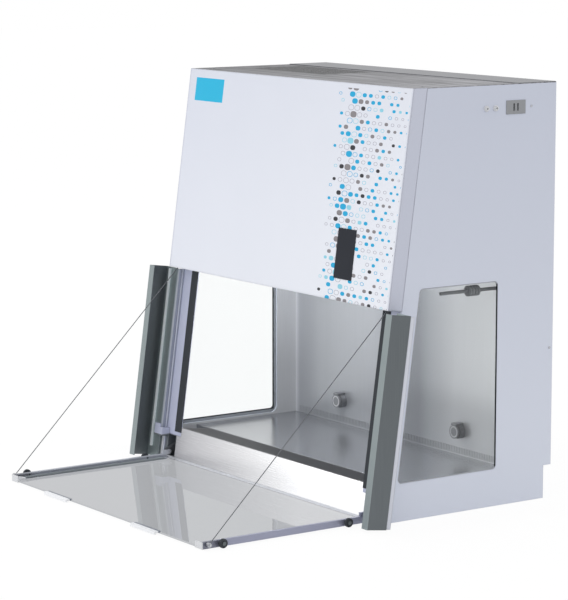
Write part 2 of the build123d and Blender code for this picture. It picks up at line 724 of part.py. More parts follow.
# Guide strip: a light rail that stands on the channel's rear flange
STRIP_S = (42.0, CHANNEL_TOP - 6.2)
with BuildPart() as guide_strip:
    with BuildSketch(section_plane(STRIP_S[0])):
        area((STRIP_X, STRIP_X + STRIP_WIDE),
             (channel_half - CHANNEL_WALL - STRIP_TALL, channel_half - CHANNEL_WALL))
    extrude(amount=STRIP_S[1] - STRIP_S[0])
save_group("guide_strips", guide_strip)

# Channel bracket: the painted hat section that carries the channel on the side wall
bracket_front = channel_half + FIT
with BuildPart() as channel_bracket:
    with BuildSketch(section_plane(channel_foot + SHEET)):
        area((HALF - SHEET, CHANNEL_HALF), (bracket_front, bracket_front + SHEET))
        area((CHANNEL_HALF - SHEET, CHANNEL_HALF), (bracket_front, FASCIA_DEEP))
        area((HALF - SHEET, HALF), (bracket_front, PANEL_FRONT))
    extrude(amount=CHANNEL_TOP - channel_foot - 2 * SHEET)
save_sides("channel_bracket", channel_bracket)

# Sash glass
sash_rear = hinge_y - EAR_R
with BuildPart() as sash_glass:
    span((-GLASS_HALF, GLASS_HALF), (SASH_FRONT, sash_rear), (GLASS_Z, GLASS_Z + GLASS_THICK))
    fillet(sash_glass.edges().filter_by(Axis.Z).group_by(Axis.Y)[0], 6.0)
save("sash_glass", sash_glass)

# Sash rail: a channel section with a ledge on the glass and a hinge ear at its rear end
glass_top = GLASS_Z + GLASS_THICK
with BuildPart() as sash_rail:
    with BuildSketch(Plane.XZ.offset(-sash_rear)):
        area((RAIL_OUT - RAIL_WALL, RAIL_OUT), (RAIL_FOOT, RAIL_TOP))
        area((RAIL_OUT - RAIL_WALL - 8.0, RAIL_OUT), (RAIL_TOP - RAIL_WALL, RAIL_TOP))
        area((RAIL_OUT - RAIL_LEDGE, RAIL_OUT), (glass_top, glass_top + RAIL_WALL))
    extrude(amount=sash_rear - SASH_FRONT)
    with BuildSketch(Plane.YZ.offset(ear_x[0])):
        with Locations((hinge_y, HINGE_Z)):
            Circle(EAR_R)
        area((sash_rear - 22.0, hinge_y), (HINGE_Z - EAR_R, HINGE_Z + EAR_R - 0.5))
        with Locations((hinge_y, HINGE_Z)):
            Circle(PIN_R + RUNNING, mode=Mode.SUBTRACT)
    extrude(amount=ear_x[1] - ear_x[0])
    with BuildSketch(Plane.YZ.offset(RAIL_OUT - RAIL_WALL)):
        for roller_y in ROLLER_Y:
            with Locations((roller_y, ROLLER_Z)):
                Circle(AXLE_R)
        with Locations((CABLE_Y, CABLE_Z)):
            Circle(AXLE_R)
    extrude(amount=RAIL_WALL, mode=Mode.SUBTRACT)
save_sides("sash_rail", sash_rail)

# Sash corner: a moulded cap over the free end of the rail and the corner of the glass, with its screw
CORNER_X = RAIL_OUT - 41.0
CORNER_LONG = 30.0
CORNER_WALL = 3.0
corner_z = glass_top + RAIL_WALL
cap_front = SASH_FRONT - FIT
with BuildPart() as sash_corner:
    span((CORNER_X, RAIL_OUT), (cap_front - CORNER_WALL, cap_front), (RAIL_FOOT, RAIL_TOP))
    span((CORNER_X, RAIL_OUT - RAIL_WALL), (cap_front, SASH_FRONT + CORNER_LONG), (corner_z, corner_z + CORNER_WALL))
    span((CORNER_X, RAIL_OUT - RAIL_LEDGE - FIT), (cap_front, SASH_FRONT + CORNER_LONG), (glass_top, corner_z))
    with BuildSketch(Plane.XY.offset(corner_z + CORNER_WALL)):
        with Locations(((CORNER_X + RAIL_OUT - RAIL_WALL) / 2, SASH_FRONT + CORNER_LONG / 2)):
            Circle(4.0)
    extrude(amount=2.5)
save_group("sash_corners", sash_corner)

# Grip: a moulded handle that clasps the free edge of the glass
with BuildPart() as sash_grip:
    with BuildSketch(Plane.YZ.offset(GRIP_X - GRIP_LONG / 2)):
        outline([
            (SASH_FRONT + GRIP_LAP, glass_top),
            (SASH_FRONT + GRIP_LAP, glass_top + GRIP_THICK),
            (SASH_FRONT - GRIP_REACH, glass_top + GRIP_THICK),
            (SASH_FRONT - GRIP_REACH, GLASS_Z - 1.0),
            (SASH_FRONT - GRIP_REACH + GRIP_LIP, GLASS_Z - 1.0),
            (SASH_FRONT - GRIP_REACH + GRIP_LIP, GLASS_Z + 3.0),
            (SASH_FRONT - FIT, GLASS_Z + 3.0),
            (SASH_FRONT - FIT, glass_top),
        ])
    extrude(amount=GRIP_LONG)
    fillet(sash_grip.edges().filter_by(Axis.Z).sort_by(Axis.Y)[0:2], 4.0)
save_group("sash_grips", sash_grip)

# Roller axle and roller, two on each rail
AXLE_END = ROLLER_X + ROLLER_WIDE / 2 + FIT + 2.2
with BuildPart() as roller_axle:
    for roller_y in ROLLER_Y:
        with BuildSketch(Plane.YZ.offset(RAIL_OUT - RAIL_WALL)):
            with Locations((roller_y, ROLLER_Z)):
                Circle(AXLE_R)
        extrude(amount=AXLE_END - RAIL_OUT + RAIL_WALL)
        with BuildSketch(Plane.YZ.offset(RAIL_OUT)):
            with Locations((roller_y, ROLLER_Z)):
                Circle(AXLE_R + 3.0)
        extrude(amount=ROLLER_X - ROLLER_WIDE / 2 - FIT - RAIL_OUT)
        with BuildSketch(Plane.YZ.offset(ROLLER_X + ROLLER_WIDE / 2 + FIT)):
            with Locations((roller_y, ROLLER_Z)):
                Circle(AXLE_R + 2.5)
        extrude(amount=AXLE_END - ROLLER_X - ROLLER_WIDE / 2 - FIT)
save_group("roller_axles", roller_axle)

for place, roller_y in zip(("rear", "front"), ROLLER_Y):
    with BuildPart() as roller:
        with BuildSketch(Plane.YZ.offset(ROLLER_X - ROLLER_WIDE / 2)):
            with Locations((roller_y, ROLLER_Z)):
                Circle(ROLLER_R)
                Circle(AXLE_R + RUNNING, mode=Mode.SUBTRACT)
        extrude(amount=ROLLER_WIDE)
        rims = roller.edges().filter_by(GeomType.CIRCLE).filter_by(lambda edge: edge.radius > AXLE_R * 2)
        fillet(rims, 2.0)
    save_sides(f"roller_{place}", roller)

# Cable pin: through the rail near its free end, with a collar that takes the cable
ANCHOR = (HALF - 28.3, *on_slope(FASCIA_FOOT + ANCHOR_RISE, ANCHOR_DEPTH))
cable_foot = Vector(CABLE_X, CABLE_Y, CABLE_Z)
cable_head = Vector(*ANCHOR)
cable_way = (cable_head - cable_foot).normalized()
with BuildPart() as cable_pin:
    with BuildSketch(Plane.YZ.offset(RAIL_OUT - RAIL_WALL)):
        with Locations((CABLE_Y, CABLE_Z)):
            Circle(AXLE_R)
    extrude(amount=AXLE_END - RAIL_OUT + RAIL_WALL)
    with BuildSketch(Plane.YZ.offset(CABLE_X - 6.0)):
        with Locations((CABLE_Y, CABLE_Z)):
            Circle(BALL_R)
    extrude(amount=12.0)
save_group("cable_pins", cable_pin)

# Stay cable: straight from the pin's collar to the ball behind the fascia's foot
cable_start = cable_foot + cable_way * (BALL_R + FIT)
cable_end = cable_head - cable_way * (BALL_R + FIT)
with BuildPart() as stay_cable:
    with BuildSketch(Plane(origin=cable_start, z_dir=cable_way)):
        Circle(CABLE_R)
    extrude(amount=(cable_end - cable_start).length)
save_sides("stay_cable", stay_cable)

# Cable anchor: a ball on an arm from the fascia's side return
ARM = 5.0
with BuildPart() as cable_anchor:
    with Locations(ANCHOR):
        Sphere(BALL_R)
    with BuildSketch(Plane.YZ.offset(ANCHOR[0])):
        with Locations((ANCHOR[1], ANCHOR[2] + 2.0)):
            Circle(ARM)
    extrude(amount=HALF - SHEET - ANCHOR[0])
save_group("cable_anchors", cable_anchor)

# Power outlet: a splash-proof body on the back wall with a sprung round cap
cap_hinge_y = WALL_FACE - OUTLET_DEEP - 6.0
cap_hinge_z = OUTLET_Z + OUTLET_TALL / 2 - 5.0
socket_z = OUTLET_Z - 2.0
LUG_WIDE = 7.0
CAP_PIN_R = 2.0
with BuildPart() as power_outlet:
    with BuildSketch(Plane.XZ.offset(-WALL_FACE)):
        with Locations((OUTLET_X, socket_z)):
            Circle(OUTLET_R)
        area((OUTLET_X - OUTLET_WIDE / 2, OUTLET_X + OUTLET_WIDE / 2), (socket_z, OUTLET_Z + OUTLET_TALL / 2))
        area((OUTLET_X - OUTLET_R, OUTLET_X + OUTLET_R),
             (socket_z - OUTLET_R - 1.0, OUTLET_Z - OUTLET_TALL / 2 + 2.5), mode=Mode.SUBTRACT)
    extrude(amount=OUTLET_DEEP)
    with BuildSketch(Plane.XZ.offset(-(WALL_FACE - OUTLET_DEEP))):
        with Locations((OUTLET_X, socket_z)):
            Circle(SOCKET_R - 3.2)
    extrude(amount=3.0)
    with BuildSketch(Plane.XZ.offset(-(WALL_FACE - OUTLET_DEEP - 3.0))):
        with Locations((OUTLET_X, socket_z)):
            Circle(SOCKET_R - 6.0)
    extrude(amount=-15.0, mode=Mode.SUBTRACT)
    for side in (-1, 1):
        lug = OUTLET_X + side * (OUTLET_WIDE / 2 - LUG_WIDE / 2) - LUG_WIDE / 2
        with BuildSketch(Plane.YZ.offset(lug)):
            with Locations((cap_hinge_y, cap_hinge_z)):
                Circle(4.5)
            area((cap_hinge_y, WALL_FACE - OUTLET_DEEP + 1.0), (cap_hinge_z - 4.5, cap_hinge_z + 4.5))
        extrude(amount=LUG_WIDE)
    with BuildSketch(Plane.YZ.offset(OUTLET_X - OUTLET_WIDE / 2)):
        with Locations((cap_hinge_y, cap_hinge_z)):
            Circle(CAP_PIN_R)
    extrude(amount=OUTLET_WIDE)
save_sides("power_outlet", power_outlet)

# Outlet cap: a round lid with a knuckle between the outlet's two lugs
cap_face = WALL_FACE - OUTLET_DEEP - 3.0 - FIT
knuckle = OUTLET_WIDE / 2 - LUG_WIDE - FIT
with BuildPart() as outlet_cap:
    with BuildSketch(Plane.XZ.offset(-cap_face)):
        with Locations((OUTLET_X, socket_z)):
            Circle(SOCKET_R)
        area((OUTLET_X - knuckle, OUTLET_X + knuckle), (socket_z, cap_hinge_z))
        area((OUTLET_X - OUTLET_WIDE / 2, OUTLET_X + OUTLET_WIDE / 2),
             (cap_hinge_z - 4.5 - FIT, socket_z + SOCKET_R * 2), mode=Mode.SUBTRACT)
        area((OUTLET_X - knuckle, OUTLET_X + knuckle), (socket_z, cap_hinge_z))
    extrude(amount=CAP_THICK)
    with BuildSketch(Plane.YZ.offset(OUTLET_X - knuckle)):
        with Locations((cap_hinge_y, cap_hinge_z)):
            Circle(4.5)
    extrude(amount=2 * knuckle)
    with BuildSketch(Plane.YZ.offset(OUTLET_X - knuckle)):
        with Locations((cap_hinge_y, cap_hinge_z)):
            Circle(CAP_PIN_R + RUNNING)
    extrude(amount=2 * knuckle, mode=Mode.SUBTRACT)
save_sides("outlet_cap", outlet_cap)

# Airflow probe: a thin rod from the back wall with a ribbed gland on it
with BuildPart() as airflow_probe:
    with BuildSketch(Plane.XZ.offset(-WALL_FACE)):
        with Locations((PROBE_X, PROBE_Z)):
            Circle(PROBE_R)
    extrude(amount=WALL_FACE - PROBE_TIP)
    fillet(airflow_probe.edges().sort_by(Axis.Y)[0], 2.0)
save("airflow_probe", airflow_probe)

RIBS = 4
rib_pitch = (GLAND_Y[1] - GLAND_Y[0]) / RIBS
with BuildPart() as probe_gland:
    with BuildSketch(Plane.XZ.offset(-GLAND_Y[1])):
        with Locations((PROBE_X, PROBE_Z)):
            Circle(GLAND_R - 3.0)
    extrude(amount=GLAND_Y[1] - GLAND_Y[0])
    for rib in range(RIBS):
        rib_y = GLAND_Y[0] + rib_pitch * (rib + 0.5)
        with BuildSketch(Plane.XZ.offset(-rib_y - rib_pitch * 0.3)):
            with Locations((PROBE_X, PROBE_Z)):
                Circle(GLAND_R)
        extrude(amount=rib_pitch * 0.6)
    with BuildSketch(Plane.XZ.offset(-GLAND_Y[1])):
        with Locations((PROBE_X, PROBE_Z)):
            Circle(PROBE_R)
    extrude(amount=GLAND_Y[1] - GLAND_Y[0], mode=Mode.SUBTRACT)
save("probe_gland", probe_gland)

# Power inlet: a framed module in the right side panel with two narrow sockets
INLET_PLATE = 2.0
INLET_BODY = 42.0
INLET_SLOTS = (199.0, 215.0)
inlet_mid = (INLET_Z[0] + INLET_Z[1]) / 2
with BuildPart() as power_inlet:
    span((HALF, HALF + INLET_PLATE), INLET_Y, INLET_Z)
    span((HALF - INLET_BODY, HALF),
         (INLET_Y[0] + INLET_TRIM + FIT, INLET_Y[1] - INLET_TRIM - FIT),
         (INLET_Z[0] + INLET_TRIM + FIT, INLET_Z[1] - INLET_TRIM - FIT))
    with BuildSketch(Plane.YZ.offset(HALF + INLET_PLATE)):
        for slot_y in INLET_SLOTS:
            with Locations((slot_y, inlet_mid)):
                SlotOverall(26.0, 7.0, rotation=90)
    extrude(amount=-14.0, mode=Mode.SUBTRACT)
save("power_inlet", power_inlet)

# Service ports: two round nipples on the right side
with BuildPart() as service_ports:
    for port_y in PORT_Y:
        with BuildSketch(Plane.YZ.offset(HALF)):
            with Locations((port_y, PORT_Z)):
                Circle(PORT_R)
        extrude(amount=4.0)
        with BuildSketch(Plane.YZ.offset(HALF + 4.0)):
            with Locations((port_y, PORT_Z)):
                Circle(PORT_R - 3.0)
        extrude(amount=5.0)
        with BuildSketch(Plane.YZ.offset(HALF + 9.0)):
            with Locations((port_y, PORT_Z)):
                Circle(3.5)
        extrude(amount=-7.0, mode=Mode.SUBTRACT)
save("service_ports", service_ports)

# Panel screws on the right side and on the top
SCREW_R = 4.0
SCREW_TALL = 1.8
SIDE_SCREWS = ((273.0, HEIGHT - 76.0), (366.0, 512.0))
TOP_SCREWS = ((HALF - 44.0, -145.0), (44.0 - HALF, -145.0), (0.0, -145.0))
with BuildPart() as panel_screws:
    with BuildSketch(Plane.YZ.offset(HALF)):
        with Locations(*SIDE_SCREWS):
            Circle(SCREW_R)
    extrude(amount=SCREW_TALL)
    with BuildSketch(Plane.XY.offset(HEIGHT)):
        with Locations(*TOP_SCREWS):
            Circle(SCREW_R)
    extrude(amount=SCREW_TALL)
save("panel_screws", panel_screws)
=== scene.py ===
"""A biological safety cabinet with its glass sash folded down, on a plain white ground."""
from math import cos, pi, radians, sin, tan

import bpy
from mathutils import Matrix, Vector


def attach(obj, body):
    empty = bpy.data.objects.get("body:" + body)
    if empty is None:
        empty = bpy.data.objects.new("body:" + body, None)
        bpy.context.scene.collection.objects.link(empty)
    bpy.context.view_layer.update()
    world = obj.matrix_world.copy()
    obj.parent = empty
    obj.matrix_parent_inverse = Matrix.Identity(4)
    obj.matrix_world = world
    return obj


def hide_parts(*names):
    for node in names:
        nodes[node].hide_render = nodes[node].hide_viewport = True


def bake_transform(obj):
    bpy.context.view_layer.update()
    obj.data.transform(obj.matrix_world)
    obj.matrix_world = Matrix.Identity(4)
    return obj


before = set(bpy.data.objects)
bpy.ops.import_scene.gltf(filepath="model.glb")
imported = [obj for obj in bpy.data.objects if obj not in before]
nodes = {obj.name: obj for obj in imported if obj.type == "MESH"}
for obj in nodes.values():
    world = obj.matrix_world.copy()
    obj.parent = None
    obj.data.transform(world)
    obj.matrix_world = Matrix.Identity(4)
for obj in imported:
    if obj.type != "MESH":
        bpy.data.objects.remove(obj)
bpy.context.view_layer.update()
for loaded in nodes.values():
    loaded.select_set(False)

# Camera: it stands to the front right, a little above the top of the cabinet, and far off,
# so that the upright edges hardly converge.
LENS = 156.36
VIEW_TURN = 0.961
VIEW_DIP = 0.149
VIEW_PLACE = (7.19645, -5.29033, 1.96487)

eye = bpy.data.cameras.new("photo_camera")
eye.lens = LENS
eye.sensor_width = 36.0
eye.sensor_fit = "AUTO"
eye.clip_end = 200.0
camera = bpy.data.objects.new("photo_camera", eye)
camera.location = VIEW_PLACE
camera.rotation_euler = (pi / 2 - VIEW_DIP, 0.0, VIEW_TURN)
bpy.context.scene.collection.objects.link(camera)
bpy.context.scene.camera = camera
bpy.context.scene.view_settings.view_transform = "Standard"

# Back and base: folded steel sheet with a pale blue-grey powder coat that has a faint orange
# peel. The back is screwed to the side walls, and the base pan carries them.
SHEET_PEEL = 900.0
SHEET_CLOUD = 4.0


def srgb(red, green, blue):
    """A colour as it is seen, from 0 to 255, turned into the linear values that a shader takes."""
    def linear(value):
        value /= 255.0
        return value / 12.92 if value <= 0.04045 else ((value + 0.055) / 1.055) ** 2.4
    return (linear(red), linear(green), linear(blue), 1.0)


class Signal:
    """A shader value: an expression on it adds the Math nodes that work it out."""

    def __init__(self, finish, socket):
        self.finish = finish
        self.socket = socket

    def worked(self, operation, first, second=0.0):
        return self.finish.node("ShaderNodeMath", {"operation": operation}, {0: first, 1: second})

    def __add__(self, other):
        return self.worked("ADD", self, other)

    __radd__ = __add__

    def __sub__(self, other):
        return self.worked("SUBTRACT", self, other)

    def __rsub__(self, other):
        return self.worked("SUBTRACT", other, self)

    def __mul__(self, other):
        return self.worked("MULTIPLY", self, other)

    __rmul__ = __mul__

    def __truediv__(self, other):
        return self.worked("DIVIDE", self, other)

    def __pow__(self, other):
        return self.worked("POWER", self, other)

    def __gt__(self, other):
        return self.worked("GREATER_THAN", self, other)

    def __lt__(self, other):
        return self.worked("LESS_THAN", self, other)

    def __abs__(self):
        return self.worked("ABSOLUTE", self)

    def floor(self):
        return self.worked("FLOOR", self)

    def fraction(self):
        return self.worked("FRACT", self)

    def root(self):
        return self.worked("SQRT", self)

    def wave(self):
        return self.worked("SINE", self)

    def at_most(self, other):
        return self.worked("MINIMUM", self, other)

    def at_least(self, other):
        return self.worked("MAXIMUM", self, other)

    def held(self):
        """The value, kept between 0 and 1."""
        return self.at_least(0.0).at_most(1.0)


class Finish:
    """A material with one Principled shader, and one method that adds every other node."""

    corner = 0.0012

    def __init__(self, name, **constants):
        self.material = bpy.data.materials.new(name)
        self.material.use_nodes = True
        self.tree = self.material.node_tree
        self.shader = self.tree.nodes["Principled BSDF"]
        self.output = self.tree.nodes["Material Output"]
        for socket, value in constants.items():
            self.shader.inputs[socket.replace("_", " ")].default_value = value

    def node(self, kind, settings, values, output=0):
        made = self.tree.nodes.new(kind)
        for name, value in settings.items():
            setattr(made, name, value)
        for socket, value in values.items():
            self.feed(made.inputs[socket], value)
        return Signal(self, made.outputs[output])

    def feed(self, socket, value):
        if isinstance(value, Signal):
            self.tree.links.new(value.socket, socket)
        else:
            socket.default_value = value

    def place(self, stretch=(1.0, 1.0, 1.0)):
        """The object's own coordinates, in metres, stretched."""
        spot = self.node("ShaderNodeTexCoord", {}, {}, output=3)
        return self.node("ShaderNodeMapping", {}, {"Vector": spot, "Scale": stretch})

    def where(self):
        """The X, Y and Z of the object's own coordinates, each as a value."""
        split = self.node("ShaderNodeSeparateXYZ", {}, {0: self.place()})
        return [Signal(self, socket) for socket in split.socket.node.outputs]

    def noise(self, place, scale, detail=3.0, rough=0.5):
        return self.node("ShaderNodeTexNoise", {}, {
            "Vector": place, "Scale": scale, "Detail": detail, "Roughness": rough})

    def mix(self, factor, first, second):
        return self.node("ShaderNodeMix", {"data_type": "RGBA"}, {0: factor, 6: first, 7: second}, output=2)

    def ramp(self, value, stops, interpolation="LINEAR"):
        """A row of colours, each at its place between 0 and 1, picked by a value."""
        picked = self.node("ShaderNodeValToRGB", {}, {"Fac": value})
        colours = picked.socket.node.color_ramp
        colours.interpolation = interpolation
        while len(colours.elements) < len(stops):
            colours.elements.new(0.5)
        for stop, (place, colour) in zip(colours.elements, stops):
            stop.position = place
            stop.color = colour
        return picked

    def bump(self, height, strength, distance):
        """A small relief on top of edges that are rounded by the finish's corner radius."""
        soft = self.node("ShaderNodeBevel", {"samples": 4}, {"Radius": self.corner})
        normal = self.node("ShaderNodeBump", {}, {
            "Height": height, "Strength": strength, "Distance": distance, "Normal": soft})
        self.feed(self.shader.inputs["Normal"], normal)

    def paint(self, colour):
        self.feed(self.shader.inputs["Base Color"], colour)

    def rough(self, value):
        self.feed(self.shader.inputs["Roughness"], value)

    def metallic(self, value):
        self.feed(self.shader.inputs["Metallic"], value)


def powder_coat(name, corner=0.006):
    """Powder-coated sheet, and the slow noise that shades it."""
    coat = Finish(name, Roughness=0.42, Specular_IOR_Level=0.4)
    coat.corner = corner
    peel = coat.noise(coat.place(), SHEET_PEEL, 2.0)
    cloud = coat.noise(coat.place(), SHEET_CLOUD, 2.0)
    coat.rough(peel * 0.08 + 0.38)
    coat.bump(peel, 0.12, 0.0003)
    return coat, cloud


def wear(piece, finish):
    """Gives a mesh one finish, in place of any that it has."""
    slots = piece.data.materials
    slots.clear()
    slots.append(finish.material)


def dress(finish, *names):
    """Gives CAD nodes one finish, in place of the plain one that they load with."""
    for name in names:
        wear(nodes[name], finish)


PAINT = srgb(219, 222, 232)
PAINT_SHADE = srgb(212, 216, 227)
shell_coat, shell_cloud = powder_coat("shell_coat")
shell_coat.paint(shell_coat.mix(shell_cloud, PAINT, PAINT_SHADE))
dress(shell_coat, "back_panel")

pan_coat, pan_cloud = powder_coat("pan_coat")
pan_coat.paint(pan_coat.mix(pan_cloud, srgb(240, 242, 247), srgb(233, 236, 243)))
dress(pan_coat, "base_pan")

# Side walls: double-skinned, coated outside and lined inside with stainless sheet that is
# brushed upwards. The lining ends at the jamb, and a coated strip runs on in front of it,
# painted darker as shade.
LEAN = radians(7.8)
FRONT_TOP_Y = -0.214
BODY_TALL = 1.401
FRONT_FOOT_Y = FRONT_TOP_Y - BODY_TALL * tan(LEAN)
WALL_INNER = 0.641
LINING_FRONT = 0.0615
LINING_DIM_Z = 0.60
LINING_DIM_TALL = 0.30
SHADED_STRIP_PAINT = srgb(160, 166, 184)


def behind_front(y, z):
    """How far a place lies behind the leaning face of the fascia."""
    return (y - FRONT_FOOT_Y) * cos(LEAN) - z * sin(LEAN)


side_coat, side_cloud = powder_coat("side_coat", 0.002)
side_x, side_y, side_z = side_coat.where()
# Painted shade: the coat outside turns darker towards the top.
height_shade = ((side_z - 0.3) / 1.1 + side_cloud * 0.1).held()
outside = side_coat.mix(height_shade, srgb(220, 225, 238), srgb(207, 212, 227))
side_depth = behind_front(side_y, side_z)
inward = abs(side_x) < WALL_INNER
lined = inward * (side_depth > LINING_FRONT)
steel_streak = side_coat.noise(side_coat.place((700.0, 700.0, 6.0)), 1.0, 4.0)
# Painted shade: the lining darkens towards the bottom.
lining_low_shade = ((LINING_DIM_Z - side_z) / LINING_DIM_TALL).held() * 0.28
lining_bright = side_coat.mix(steel_streak, srgb(214, 216, 219), srgb(192, 194, 198))
lining = side_coat.mix(lining_low_shade, lining_bright, srgb(112, 114, 117))
# Painted shade: the coated strip in front of the lining is a darker lavender grey.
side_paint = side_coat.mix(inward * (side_depth < LINING_FRONT), outside, SHADED_STRIP_PAINT)
side_coat.paint(side_coat.mix(lined, side_paint, lining))
side_coat.metallic(lined * 0.45)
dress(side_coat, "side_panel_left", "side_panel_right")

# Window seals: black rubber frames pushed round the edge of each cut-out. The lip outside
# is painted pale as a highlight where it catches the light, and the bed round the pane is greyer than the
# lip.
SEAL_OUTER = 0.6455
SEAL_REAR_Y = 0.1415
LIP_HIGHLIGHT_REAR_Y = 0.1365
SEAL_BED_Z = (0.1240, 0.7570)


def moulded(name, colour, second, rough=0.5, sheen=0.4):
    """Moulded plastic or rubber with a fine spark-eroded surface."""
    plastic = Finish(name, Roughness=rough, Specular_IOR_Level=sheen)
    speck = plastic.noise(plastic.place(), 1200.0, 2.0)
    plastic.paint(plastic.mix(speck, colour, second))
    plastic.rough(speck * 0.12 + (rough - 0.06))
    plastic.bump(speck, 0.15, 0.0002)
    return plastic


seal_rubber = moulded("seal_rubber", srgb(60, 62, 65), srgb(48, 50, 53), 0.6, sheen=0.12)
seal_x, seal_y, seal_z = seal_rubber.where()
past_lip = (seal_y > SEAL_REAR_Y).at_least(seal_z < SEAL_BED_Z[0]).at_least(seal_z > SEAL_BED_Z[1])
seal_bed = (abs(seal_x) < SEAL_OUTER) * past_lip
# Painted highlight: the outer part of the lip is pale grey where it catches the light.
lip_highlight = (seal_x > SEAL_OUTER) * (seal_y < LIP_HIGHLIGHT_REAR_Y)
lip_colour = seal_rubber.mix(lip_highlight, srgb(44, 46, 50), srgb(176, 179, 186))
seal_rubber.paint(seal_rubber.mix(seal_bed, lip_colour, srgb(138, 141, 147)))
dress(seal_rubber, "window_seals")


# Side windows: toughened panes, all but clear, held by the seals. Light passes straight
# through, and the outer surface mirrors more strongly at a shallow angle.
def pane_glass(name, tint):
    """Tinted glass that doesn't bend the light, with a capped reflection on its outer side."""
    pane = Finish(name, Roughness=0.02, Metallic=0.0)
    pane.paint(srgb(200, 204, 206))
    clear = pane.node("ShaderNodeBsdfTransparent", {}, {"Color": tint})
    gloss = pane.node("ShaderNodeBsdfGlossy", {}, {"Color": (1.0, 1.0, 1.0, 1.0), "Roughness": 0.02})
    edge = pane.node("ShaderNodeFresnel", {}, {"IOR": 1.45})
    from_inside = pane.node("ShaderNodeNewGeometry", {}, {}, output=6)
    strength = edge.at_most(0.2) * (1.0 - from_inside)
    mixed = pane.node("ShaderNodeMixShader", {}, {0: strength, 1: clear, 2: gloss})
    pane.feed(pane.output.inputs["Surface"], mixed)
    return pane


dress(pane_glass("window_glass_tint", srgb(253, 254, 254)), "side_windows")


# Chamber sheets: the header, the ceiling's diffuser and the spill tray are stainless sheet,
# brushed along the cabinet and fixed to the side walls.
def brushed(name, colour, streak_colour, stretch, rough=0.3):
    """Brushed metal, with fine streaks that change its colour and gloss."""
    metal = Finish(name, Metallic=1.0, Roughness=rough)
    fine = metal.noise(metal.place(stretch), 1.0, 4.0, 0.6)
    metal.paint(metal.mix(fine, colour, streak_colour))
    metal.rough(fine * 0.16 + (rough - 0.08))
    metal.bump(fine, 0.1, 0.0003)
    return metal


ALONG_X = (8.0, 900.0, 900.0)
chamber_steel = brushed("chamber_steel", srgb(196, 198, 202), srgb(178, 181, 186), ALONG_X, 0.34)
dress(chamber_steel, "front_header", "ceiling_diffuser", "spill_tray")

# Back wall of the chamber: the same steel brushed upwards. Its colour holds a painted
# reflection of the dark jamb in a soft band to the right of the middle, and of the bright
# corner beside it at the far left.
WALL_HALF = 0.64
WALL_DIM_Z = 0.34
WALL_DIM_TALL = 0.07
WALL_DIM_RUN = 0.1

wall_steel = Finish("wall_steel", Metallic=0.6, Roughness=0.32)
wall_fine = wall_steel.noise(wall_steel.place((500.0, 500.0, 3.0)), 1.0, 4.0, 0.6)
wall_broad = wall_steel.noise(wall_steel.place((9.0, 1.0, 0.4)), 1.0, 2.0)
wall_x, _, wall_z = wall_steel.where()
# Painted reflection across the width: a dark band right of the middle and a bright far-left corner.
wall_reflection_tone = wall_steel.ramp((wall_x + WALL_HALF) / (2 * WALL_HALF) + (wall_broad - 0.5) * 0.03, [
    (0.0, srgb(232, 234, 238)),
    (0.018, srgb(186, 189, 194)),
    (0.15, srgb(166, 169, 174)),
    (0.38, srgb(176, 179, 184)),
    (0.54, srgb(144, 147, 153)),
    (0.58, srgb(144, 147, 153)),
    (0.633, srgb(172, 175, 180)),
    (0.74, srgb(211, 213, 216)),
    (0.90, srgb(229, 231, 233)),
    (1.0, srgb(236, 237, 239)),
])
# Painted shade: the wall darkens towards the bottom on its right half.
wall_low_shade = ((WALL_DIM_Z - wall_z) / WALL_DIM_TALL).held() * (wall_x / WALL_DIM_RUN).held() * 0.16
wall_toned = wall_steel.mix(wall_low_shade, wall_reflection_tone, srgb(96, 98, 103))
wall_steel.paint(wall_steel.mix(wall_fine * 0.22, wall_toned, srgb(120, 122, 127)))
wall_steel.rough(wall_fine * 0.14 + 0.26)
wall_steel.bump(wall_fine, 0.08, 0.0003)
dress(wall_steel, "inner_back_wall")

# Work surface: the same sheet, brushed along the cabinet and smooth enough to mirror the
# sockets above it. It lifts out over the spill tray.
work_steel = Finish("work_steel", Metallic=0.9, Roughness=0.24)
work_fine = work_steel.noise(work_steel.place(ALONG_X), 1.0, 4.0, 0.6)
work_x, _, _ = work_steel.where()
# Painted light and shade across the width: darker at the left end, lightest left of the middle.
work_shade_tone = work_steel.ramp((work_x + WALL_HALF) / (2 * WALL_HALF), [
    (0.0, srgb(176, 178, 182)),
    (0.35, srgb(198, 200, 204)),
    (0.75, srgb(190, 192, 197)),
])
work_steel.paint(work_steel.mix(work_fine * 0.2, work_shade_tone, srgb(110, 112, 116)))
work_steel.rough(work_fine * 0.12 + 0.17)
work_steel.bump(work_fine, 0.06, 0.0003)
dress(work_steel, "work_surface")

# Front grille: a slotted sheet along the front of the work surface, through which the air is
# drawn down. It is painted dark grey as shade, since the slots see the unlit space under it.
grille_dark = Finish("grille_dark", Metallic=0.3, Roughness=0.5)
grille_grain = grille_dark.noise(grille_dark.place(ALONG_X), 1.0, 3.0)
grille_dark.paint(grille_dark.mix(grille_grain, srgb(84, 85, 88), srgb(66, 67, 70)))
grille_dark.rough(grille_grain * 0.15 + 0.42)
dress(grille_dark, "front_grille")

# Front apron: stainless sheet that slopes down in front of the grille. It mirrors the white
# ground, with a faint painted glow of its own that helps to show it, and painted shade makes
# it greyer to the left.
APRON_SHADE_X = -0.52
APRON_SHADE_RUN = 0.72

apron_steel = Finish("apron_steel", Metallic=1.0, Roughness=0.24, Emission_Strength=1.0)
apron_fine = apron_steel.noise(apron_steel.place(ALONG_X), 1.0, 4.0, 0.6)
apron_x, _, _ = apron_steel.where()
